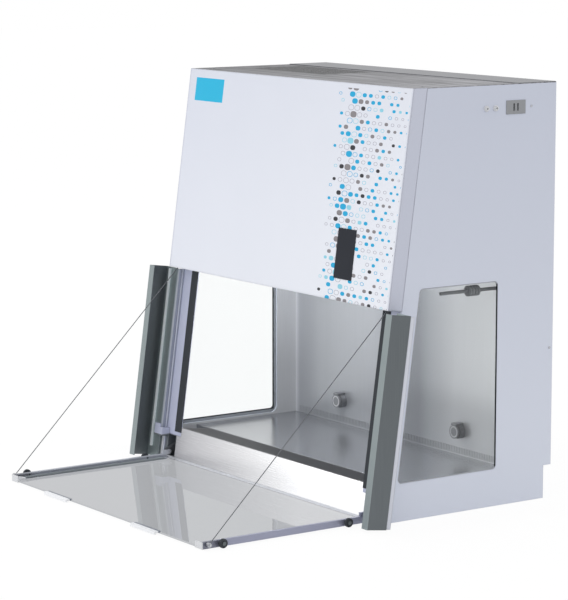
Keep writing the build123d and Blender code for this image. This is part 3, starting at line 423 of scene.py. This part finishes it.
# Painted shade: the apron turns greyer towards the left.
apron_shade_way = ((apron_x - APRON_SHADE_X) / APRON_SHADE_RUN + (apron_fine - 0.5) * 0.10).held()
apron_steel.paint(apron_steel.mix(apron_shade_way, srgb(196, 196, 200), srgb(255, 255, 255)))
apron_steel.rough(apron_fine * 0.12 + 0.2)
apron_steel.metallic(apron_shade_way * 0.6 + 0.25)
apron_steel.bump(apron_fine, 0.08, 0.0003)
# Painted glow: the apron gives off a faint grey light of its own, stronger to the right.
apron_painted_glow = apron_steel.mix(apron_shade_way * apron_shade_way, srgb(56, 56, 58), srgb(164, 164, 166))
apron_steel.feed(apron_steel.shader.inputs["Emission Color"], apron_painted_glow)
dress(apron_steel, "front_apron")

# Fan and plenum: galvanised sheet, with a cast motor. The filters are pleated paper between
# them and the chamber, and over the fan's outlet.
PLEATS = 1200.0

plain_zinc = brushed("zinc_sheet", srgb(170, 174, 178), srgb(150, 154, 160), (60.0, 60.0, 60.0), 0.45)
dress(plain_zinc, "blower_housing", "blower_wheel", "plenum_plate")

cast_alloy = Finish("cast_alloy", Metallic=0.7, Roughness=0.55)
cast_grain = cast_alloy.noise(cast_alloy.place(), 500.0, 3.0)
cast_alloy.paint(cast_alloy.mix(cast_grain, srgb(120, 123, 128), srgb(98, 100, 106)))
cast_alloy.bump(cast_grain, 0.3, 0.0004)
dress(cast_alloy, "hinge_blocks", "blower_motor")

filter_media = Finish("filter_media", Roughness=0.8)
pleat_x, _, _ = filter_media.where()
pleat = (pleat_x * PLEATS).wave()
# Painted shade in the pleats: the paper darkens along each fold, on top of the bump.
filter_media.paint(filter_media.mix(pleat * 0.5 + 0.5, srgb(236, 236, 232), srgb(206, 206, 202)))
filter_media.bump(pleat, 0.6, 0.002)
dress(filter_media, "supply_filter", "exhaust_filter")

# Lamp and control board: a frosted glass tube in clips under the header, and a green circuit
# board behind the fascia, screwed down on spacers.
lamp_glass = Finish("lamp_glass", Roughness=0.3)
lamp_haze = lamp_glass.noise(lamp_glass.place(), 40.0)
lamp_glass.paint(lamp_glass.mix(lamp_haze, srgb(250, 250, 252), srgb(240, 242, 246)))
dress(lamp_glass, "lamp_tube")
board_green = moulded("board_green", srgb(34, 92, 58), srgb(26, 76, 48), 0.4)
dress(board_green, "control_board")

# Top panel: grey sheet with long uneven streaks across the cabinet, brighter to the right.
# It is screwed down round its edge.
TOP_WIDE = 1.3

top_steel = Finish("top_steel", Metallic=0.85, Roughness=0.42)
wide_streak = top_steel.noise(top_steel.place((3.0, 60.0, 1.0)), 1.0, 5.0, 0.65)
fine_streak = top_steel.noise(top_steel.place((14.0, 500.0, 1.0)), 1.0, 3.0, 0.6)
top_mix = (wide_streak - 0.34) * 2.4 + (fine_streak - 0.5) * 1.0
top_x, _, _ = top_steel.where()
top_fade = (top_x / TOP_WIDE + 0.5).held()
top_dark = top_steel.mix(top_fade, srgb(46, 47, 52), srgb(92, 92, 98))
top_pale = top_steel.mix(top_fade, srgb(142, 142, 148), srgb(206, 206, 212))
top_steel.paint(top_steel.mix(top_mix.held(), top_dark, top_pale))
top_steel.rough(fine_streak * 0.3 + 0.3)
top_steel.bump(fine_streak, 0.2, 0.0004)
dress(top_steel, "top_panel")

# Rear cover and exhaust guard: the paler strip that closes the top's rear edge, and the dark
# slotted sheet over the exhaust filter.
cover_steel = brushed("cover_steel", srgb(152, 153, 158), srgb(120, 121, 126), (6.0, 400.0, 400.0), 0.4)
dress(cover_steel, "rear_cover")
dark_steel = brushed("dark_steel", srgb(92, 93, 96), srgb(70, 71, 74), ALONG_X, 0.4)
dress(dark_steel, "exhaust_guard")

# Fascia: one folded sheet with the same coat, hung on the front. It carries a printed field of
# rounded squares, which thin out to the left, in cyan, greys and near-black, half of them
# outlines only, and a plain cyan patch in its upper left corner.
PRINT_X = (0.255, 0.640)
PRINT_Z = (0.690, 1.385)
PRINT_THIN_RUN = 0.09
CELL_WIDE = 0.033
CELL_TALL = 0.0215
DOT_STRETCH = 1.7
ROUNDING = 2.4
RING_WALL = 0.0015
RING_SHARE = 0.50
DENSE_X = 0.345
DENSE_RUN = 0.060
MEDIUM_X = 0.42
MEDIUM_RUN = 0.24
BADGE_X = (-0.605, -0.428)
BADGE_Z = (1.291, 1.372)
BADGE_CYAN = srgb(0, 184, 226)
CYAN = srgb(0, 172, 222)
PALE_CYAN = srgb(146, 214, 234)
MID_GREY = srgb(138, 134, 138)
DARK_GREY = srgb(40, 40, 48)
PALE_GREY = srgb(178, 178, 190)
FASCIA_DIM = srgb(219, 223, 235)
FASCIA_WHITE = srgb(243, 246, 254)
FOLD_X = 0.6375
FOLD_WIDE = 0.0125

fascia_coat, fascia_cloud = powder_coat("fascia_coat")
print_x, _, print_z = fascia_coat.where()
row = (print_z / CELL_TALL).floor()
shifted = print_x / CELL_WIDE + row * 0.5
cell_x = shifted.floor()


def pick(seed):
    """A steady random number for each cell of the print."""
    cell = fascia_coat.node("ShaderNodeCombineXYZ", {}, {0: cell_x, 1: row, 2: seed})
    return fascia_coat.node("ShaderNodeTexWhiteNoise", {"noise_dimensions": "3D"}, {"Vector": cell})


def square(value):
    return value * value


def between(value, ends):
    return (value > ends[0]) * (value < ends[1])


off_x = (shifted.fraction() - 0.5) * CELL_WIDE / DOT_STRETCH
off_z = ((print_z / CELL_TALL).fraction() - 0.5) * CELL_TALL
reach = ((abs(off_x) * 100.0) ** ROUNDING + (abs(off_z) * 100.0) ** ROUNDING) ** (1.0 / ROUNDING) / 100.0
middle = (cell_x - row * 0.5 + 0.5) * CELL_WIDE
large = (1.0 - abs(middle - DENSE_X) / DENSE_RUN).at_least(0.0)
medium = (1.0 - square((middle - MEDIUM_X) / MEDIUM_RUN)).at_least(0.0)
size = 0.0030 + 0.0032 * medium + (pick(3.0) * 0.0016 + 0.0028) * large
is_ring = pick(19.0) < RING_SHARE
body = (reach < size) * (1.0 - is_ring * (reach < size - RING_WALL))
thinning = ((middle - PRINT_X[0]) / PRINT_THIN_RUN).at_most(1.0)
ink = body * between(print_x, PRINT_X) * between(print_z, PRINT_Z) * (pick(41.0) < 0.42 + thinning * 0.46)
hue = pick(7.0)
solid_colour = fascia_coat.ramp(hue, [
    (0.0, CYAN),
    (0.34, MID_GREY),
    (0.66, DARK_GREY),
    (0.76, PALE_CYAN),
    (0.88, CYAN),
], "CONSTANT")
ring_colour = fascia_coat.ramp(hue, [
    (0.0, PALE_GREY),
    (0.60, PALE_CYAN),
    (0.82, CYAN),
], "CONSTANT")
print_colour = fascia_coat.mix(is_ring, solid_colour, ring_colour)
# Painted light: the plain coat is brighter to the right and towards the bottom.
light_slant = (print_x / TOP_WIDE + 0.5) * 0.5 + (1.4 - print_z) / 1.4 + (fascia_cloud - 0.5) * 0.15
plain = fascia_coat.mix(light_slant.held(), FASCIA_DIM, FASCIA_WHITE)
# Painted shade where the fascia folds back at its sides.
fold = ((abs(print_x) - FOLD_X) / FOLD_WIDE).held()
fold_shaded = fascia_coat.mix(square(fold), plain, srgb(203, 207, 222))
printed = fascia_coat.mix(ink, fold_shaded, print_colour)
on_badge = between(print_x, BADGE_X) * between(print_z, BADGE_Z)
fascia_coat.paint(fascia_coat.mix(on_badge, printed, BADGE_CYAN))
dress(fascia_coat, "front_fascia")

# Display: a dark glass touch panel, let into the fascia from behind.
screen_glass = Finish("screen_glass", Roughness=0.35, Specular_IOR_Level=0.12)
screen_haze = screen_glass.noise(screen_glass.place(), 20.0)
screen_glass.paint(screen_glass.mix(screen_haze, srgb(46, 49, 57), srgb(38, 41, 49)))
dress(screen_glass, "display_screen")

# Sockets: dark moulded splash-proof bodies on the back wall, each with a sprung round cap
# that has a paler ring painted on it as a highlight where its rim catches the light.
CAP_X = 0.343
CAP_Z = 0.192
CAP_HIGHLIGHT_R = (0.0155, 0.0195)

dark_plastic = moulded("dark_plastic", srgb(116, 118, 122), srgb(100, 102, 106), 0.45)
dress(dark_plastic, "power_outlet_left", "power_outlet_right")
cap_plastic = Finish("cap_plastic", Roughness=0.4, Specular_IOR_Level=0.4)
cap_speck = cap_plastic.noise(cap_plastic.place(), 1200.0, 2.0)
cap_x, _, cap_z = cap_plastic.where()
cap_reach = (square(abs(cap_x) - CAP_X) + square(cap_z - CAP_Z)).root()
cap_plain = cap_plastic.mix(cap_speck, srgb(122, 124, 128), srgb(108, 110, 114))
# Painted highlight: a paler ring where the cap's rim catches the light.
cap_plastic.paint(cap_plastic.mix(between(cap_reach, CAP_HIGHLIGHT_R), cap_plain, srgb(176, 178, 182)))
dress(cap_plastic, "outlet_cap_left", "outlet_cap_right")

# Probe, inlet and ports: the airflow probe's rod in its gland inside the chamber, and the
# mains inlet and the capped service ports that are pushed into the right wall. The sash's
# corner caps are moulded in the ports' white.
probe_plastic = moulded("probe_plastic", srgb(128, 130, 134), srgb(112, 114, 118), 0.5)
dress(probe_plastic, "airflow_probe", "probe_gland")
grey_plastic = moulded("grey_plastic", srgb(158, 160, 164), srgb(146, 148, 152), 0.5)
dress(grey_plastic, "power_inlet")
white_plastic = moulded("white_plastic", srgb(226, 227, 230), srgb(216, 218, 222), 0.4)
dress(white_plastic, "service_ports", "sash_corners")

# Jambs and seal strips: folded lavender posts at both sides of the opening, each with its foot
# painted dark grey as shade, and a black rubber strip that the shut sash presses against.
POST_FOOT_Z = 0.088

jamb_coat, jamb_cloud = powder_coat("jamb_coat")
_, _, jamb_z = jamb_coat.where()
lavender = jamb_coat.mix(jamb_cloud, srgb(204, 209, 231), srgb(195, 200, 224))
# Painted shade: the posts turn dark grey at their foot.
jamb_coat.paint(jamb_coat.mix(jamb_z < POST_FOOT_Z, lavender, srgb(128, 134, 140)))
dress(jamb_coat, "jamb_left", "jamb_right")

black_rubber = moulded("black_rubber", srgb(72, 76, 81), srgb(58, 61, 65), 0.6, sheen=0.12)
dress(black_rubber, "seal_strips", "roller_rear_left", "roller_rear_right", "roller_front_left",
      "roller_front_right")

# Hinge pockets: folded recesses beside the apron, painted dark grey as the shade inside them,
# which hold the blocks that the sash turns in.
pocket_dark = Finish("pocket_dark", Metallic=0.3, Roughness=0.5)
pocket_grain = pocket_dark.noise(pocket_dark.place(), 60.0, 3.0)
# Painted shade: the pockets are dark grey.
pocket_dark.paint(pocket_dark.mix(pocket_grain, srgb(112, 118, 124), srgb(96, 101, 108)))
dress(pocket_dark, "hinge_pockets")

# Channel brackets: coated Z-shaped sheets that carry the side channels. Their webs face the
# opening and are painted with light and shade: above the foot lighter near the front and
# darker behind, and at the foot in shade near the front with a glossy white highlight behind.
BRACKET_WEB_X = 0.6495
WEB_SHADE_DEPTH = 0.0445
FOOT_HIGHLIGHT_DEPTH = 0.0475

bracket_coat, bracket_cloud = powder_coat("bracket_coat")
bracket_x, bracket_y, bracket_z = bracket_coat.where()
bracket_depth = behind_front(bracket_y, bracket_z)
bracket_outer = bracket_coat.mix(bracket_cloud, PAINT, PAINT_SHADE)
# Painted light and shade above the foot: lighter near the front, darker behind.
web_upper_shading = bracket_coat.mix(bracket_depth < WEB_SHADE_DEPTH, SHADED_STRIP_PAINT, srgb(206, 211, 218))
# Painted shade and highlight at the foot: dark near the front, glossy white behind.
web_foot_shading = bracket_coat.mix(bracket_depth > FOOT_HIGHLIGHT_DEPTH, srgb(112, 122, 124), srgb(252, 253, 255))
web_light_and_shade = bracket_coat.mix(bracket_z < POST_FOOT_Z, web_upper_shading, web_foot_shading)
bracket_coat.paint(bracket_coat.mix(abs(bracket_x) < BRACKET_WEB_X, bracket_outer, web_light_and_shade))
dress(bracket_coat, "channel_bracket_left", "channel_bracket_right")

# Side channels: satin anodised sections, grey-green, with faint drawing lines up their length,
# screwed to the brackets. The front flange and the inside of the web are painted lighter, as
# highlights where they catch the light.
UPRIGHT = (700.0, 700.0, 6.0)
CHANNEL_WEB_X = 0.7165
CHANNEL_WEB_DEPTH = 0.03
CHANNEL_FLANGE_DEPTH = -0.0375

anodised = Finish("anodised_green", Metallic=0.75, Roughness=0.42)
draw_line = anodised.noise(anodised.place(UPRIGHT), 1.0, 3.0)
web_x, web_y, web_z = anodised.where()
web_depth = behind_front(web_y, web_z)
lit_web = (abs(web_x) < CHANNEL_WEB_X) * (web_depth > CHANNEL_WEB_DEPTH)
bare_colour = anodised.mix(draw_line, srgb(112, 118, 121), srgb(100, 105, 109))
# Painted highlights: the inside of the web and the front flange are lighter.
web_colour = anodised.mix(lit_web, bare_colour, srgb(164, 176, 178))
anodised.paint(anodised.mix(web_depth < CHANNEL_FLANGE_DEPTH, web_colour, srgb(152, 162, 164)))
anodised.rough(draw_line * 0.15 + 0.36)
dress(anodised, "side_channel_left", "side_channel_right")

guide_nylon = moulded("guide_nylon", srgb(232, 238, 240), srgb(220, 227, 230), 0.35)
dress(guide_nylon, "guide_strips")

# Pins, screws and axles: turned stainless steel. The cables' ball anchors are screwed in
# behind the fascia, and the roller axles are pressed into the sash's rails.
TURNED = (300.0, 300.0, 300.0)

bright_steel = brushed("bright_steel", srgb(198, 200, 204), srgb(176, 178, 184), TURNED, 0.28)
dress(bright_steel, "hinge_pins", "cable_anchors", "panel_screws", "cable_pins")
axle_steel = brushed("axle_steel", srgb(112, 118, 120), srgb(96, 102, 104), TURNED, 0.4)
dress(axle_steel, "roller_axles")

# Stay cables: two thin twisted steel ropes that hold the open sash level. Each runs from a
# pin near the sash's free corner to a ball behind the fascia, and goes slack as the sash shuts.
CABLE_LOW = Vector((0.614, -0.976, 0.0165))
CABLE_HIGH = Vector((0.6217, -0.2789, 0.7054))
CABLE_THICK = 0.003
CABLE_INSET = 0.0073
CABLE_SIDES = 12
CABLE_STEPS = 96
STRAND_TURNS = 900.0
STRAND_TURNS_X = 1500.0

steel_rope = Finish("steel_rope", Metallic=0.9, Roughness=0.4)
rope_way = (CABLE_HIGH - CABLE_LOW).normalized()
rope_x, rope_y, rope_z = steel_rope.where()
twist = (rope_y * rope_way.y + rope_z * rope_way.z) * STRAND_TURNS + rope_x * STRAND_TURNS_X
strand = twist.wave()
# Painted shade between the strands: the rope darkens along the grooves of its twist.
steel_rope.paint(steel_rope.mix(strand * 0.5 + 0.5, srgb(70, 72, 76), srgb(150, 152, 156)))
steel_rope.bump(strand, 0.5, 0.0004)


def settle(piece):
    """Puts a piece's place into its mesh, leaves its object at the origin, and keeps it active."""
    bpy.ops.object.select_all(action="DESELECT")
    piece.select_set(True)
    bpy.context.view_layer.objects.active = piece
    bpy.ops.object.transform_apply(location=True, rotation=True, scale=True)


def stay_cable(side, mirror):
    """A round rope of many short rings."""
    low = Vector((CABLE_LOW.x * mirror, CABLE_LOW.y, CABLE_LOW.z))
    high = Vector((CABLE_HIGH.x * mirror, CABLE_HIGH.y, CABLE_HIGH.z))
    way = (high - low).normalized()
    start = low + way * CABLE_INSET
    end = high - way * CABLE_INSET
    bpy.ops.mesh.primitive_cylinder_add(
        vertices=CABLE_SIDES, radius=CABLE_THICK / 2, depth=(end - start).length)
    rope = bpy.context.object
    rope.name = f"stay_rope_{side}"
    bpy.ops.object.mode_set(mode="EDIT")
    bpy.ops.mesh.select_mode(type="EDGE")
    bpy.ops.mesh.select_all(action="DESELECT")
    bpy.ops.object.mode_set(mode="OBJECT")
    for edge in rope.data.edges:
        ends = [rope.data.vertices[corner].co.z for corner in edge.vertices]
        edge.select = ends[0] != ends[1]
    bpy.ops.object.mode_set(mode="EDIT")
    bpy.ops.mesh.subdivide(number_cuts=CABLE_STEPS)
    bpy.ops.object.mode_set(mode="OBJECT")
    rope.rotation_mode = "QUATERNION"
    rope.rotation_quaternion = Vector((0, 0, 1)).rotation_difference(way)
    rope.location = (start + end) / 2
    settle(rope)
    bpy.ops.object.shade_smooth_by_angle(angle=radians(30.0))
    rope.select_set(False)
    wear(rope, steel_rope)
    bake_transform(rope)
    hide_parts(f"stay_cable_{side}")


for cable_side, cable_mirror in (("right", 1), ("left", -1)):
    stay_cable(cable_side, cable_mirror)

# Sash: a toughened pane with a grey tint, bonded on the ledges of two aluminium rails. The
# rails are painted darker at the free end as shade, and the left one's inner side is painted
# brighter as a highlight.
RAIL_SHADE_Y = -0.9
RAIL_SHADE_RUN = 0.06
LEFT_RAIL_WEB_X = -0.6015

dress(pane_glass("sash_glass_tint", srgb(220, 221, 223)), "sash_glass")

rail_alloy = Finish("rail_alloy", Metallic=0.4, Roughness=0.36)
rail_line = rail_alloy.noise(rail_alloy.place((500.0, 8.0, 500.0)), 1.0, 3.0)
rail_x, rail_y, _ = rail_alloy.where()
rail_end_shade = ((RAIL_SHADE_Y - rail_y) / RAIL_SHADE_RUN).held()
rail_tone = rail_alloy.mix(rail_line, srgb(166, 169, 190), srgb(146, 149, 170))
# Painted highlight: the inner side of the left rail is brighter.
rail_lit = rail_alloy.mix(between(rail_x, (LEFT_RAIL_WEB_X, 0.0)), rail_tone, srgb(188, 192, 201))
# Painted shade: the rails darken towards the free end.
rail_alloy.paint(rail_alloy.mix(rail_end_shade * 0.6, rail_lit, srgb(96, 98, 106)))
rail_alloy.rough(rail_line * 0.12 + 0.32)
dress(rail_alloy, "sash_rail_left", "sash_rail_right")

# Grips: two white moulded handles that clasp the free edge of the glass, with a band painted
# dark as shade where they lap over it.
GRIP_SHADE_Y = -0.9960

grip_plastic = Finish("grip_plastic", Roughness=0.35, Specular_IOR_Level=0.4)
grip_speck = grip_plastic.noise(grip_plastic.place(), 1200.0, 2.0)
_, grip_y, _ = grip_plastic.where()
grip_white = grip_plastic.mix(grip_speck, srgb(251, 252, 255), srgb(244, 246, 250))
# Painted shade: a dark band where the grip laps over the glass.
grip_plastic.paint(grip_plastic.mix(grip_y > GRIP_SHADE_Y, grip_white, srgb(132, 137, 148)))
grip_plastic.rough(grip_speck * 0.12 + 0.3)
dress(grip_plastic, "sash_grips")

# Glazing beads: grey rubber wedges pressed in between each rail's ledge and the sash glass,
# from the corner cap to the hinge end.
BEAD_X = 0.5822
BEAD_Y = (-0.9565, -0.3800)
BEAD_Z = (0.0091, 0.0155)
BEAD_WIDE = 0.0050
BEAD_EDGE_R = 0.0012

bead_rubber = moulded("bead_rubber", srgb(150, 158, 162), srgb(134, 141, 146), 0.6, sheen=0.2)


def glazing_bead(side, mirror):
    """A bar of rubber with rounded edges."""
    bpy.ops.mesh.primitive_cube_add(size=1.0)
    bead = bpy.context.object
    bead.name = f"glazing_bead_{side}"
    bead.scale = (BEAD_WIDE, BEAD_Y[1] - BEAD_Y[0], BEAD_Z[1] - BEAD_Z[0])
    bead.location = (BEAD_X * mirror, sum(BEAD_Y) / 2, sum(BEAD_Z) / 2)
    settle(bead)
    soft_edge = bead.modifiers.new("soft_edge", "BEVEL")
    soft_edge.width = BEAD_EDGE_R
    soft_edge.segments = 2
    bpy.ops.object.modifier_apply(modifier="soft_edge")
    bead.select_set(False)
    wear(bead, bead_rubber)
    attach(bead, "sash")


for bead_side, bead_mirror in (("right", 1), ("left", -1)):
    glazing_bead(bead_side, bead_mirror)

# Ground: white to the eye and in mirrors, but dim enough to other light that the cabinet
# leaves a soft shadow on it.
GROUND_GLOW = 1.04
GROUND_SEEN = 0.88

bpy.ops.mesh.primitive_plane_add(size=60.0, location=(0.0, 0.0, -0.0005))
ground = bpy.context.object
ground.name = "ground"
ground_white = Finish("ground_white", Roughness=0.9, Specular_IOR_Level=0.1)
ground_white.paint((0.8, 0.8, 0.8, 1.0))
ray_kinds = ground_white.node("ShaderNodeLightPath", {}, {}).socket.node.outputs
straight, mirrored_ray, through = [
    Signal(ground_white, ray_kinds[f"Is {kind} Ray"]) for kind in ("Camera", "Glossy", "Transmission")]
seen = (straight + mirrored_ray + through).at_most(1.0)
glow = ground_white.node("ShaderNodeEmission", {}, {"Color": (1.0, 1.0, 1.0, 1.0), "Strength": GROUND_GLOW})
matt = Signal(ground_white, ground_white.shader.outputs[0])
ground_mix = ground_white.node("ShaderNodeMixShader", {}, {0: seen * GROUND_SEEN, 1: matt, 2: glow})
ground_white.feed(ground_white.output.inputs["Surface"], ground_mix)
wear(ground, ground_white)

# Sky: pure white where it is seen, and a little dimmer as a light.
WORLD_LIGHT = 0.9

sky = bpy.data.worlds.new("studio")
bpy.context.scene.world = sky
sky.use_nodes = True
sky_tree = sky.node_tree
sky_back = sky_tree.nodes["Background"]
sky_back.inputs["Color"].default_value = (1.0, 1.0, 1.0, 1.0)
sky_rays = sky_tree.nodes.new("ShaderNodeLightPath")
sky_seen = sky_tree.nodes.new("ShaderNodeMath")
sky_seen.operation = "MAXIMUM"
sky_tree.links.new(sky_rays.outputs["Is Camera Ray"], sky_seen.inputs[0])
sky_tree.links.new(sky_rays.outputs["Is Transmission Ray"], sky_seen.inputs[1])
sky_strength = sky_tree.nodes.new("ShaderNodeMapRange")
sky_strength.inputs["To Min"].default_value = WORLD_LIGHT
sky_strength.inputs["To Max"].default_value = 1.0
sky_tree.links.new(sky_seen.outputs[0], sky_strength.inputs["Value"])
sky_tree.links.new(sky_strength.outputs[0], sky_back.inputs["Strength"])


# Lights: a broad one from the front left, which isn't mirrored in the metal, and a small one
# under the chamber's ceiling, in place of the lamp.
def soft_light(name, place, target, size, power, mirrored):
    lamp = bpy.data.lights.new(name, "AREA")
    lamp.shape = "RECTANGLE"
    lamp.size = size[0]
    lamp.size_y = size[1]
    lamp.energy = power
    holder = bpy.data.objects.new(name, lamp)
    holder.location = place
    holder.rotation_euler = (Vector(target) - Vector(place)).to_track_quat("-Z", "Y").to_euler()
    holder.visible_glossy = mirrored
    bpy.context.scene.collection.objects.link(holder)


soft_light("key_light", (-6.0, -5.0, 2.2), (0.0, -0.2, 0.6), (6.0, 4.0), 130.0, False)
soft_light("chamber_light", (-0.28, -0.10, 0.765), (-0.33, 0.1, 0.0), (0.6, 0.2), 6.0, True)
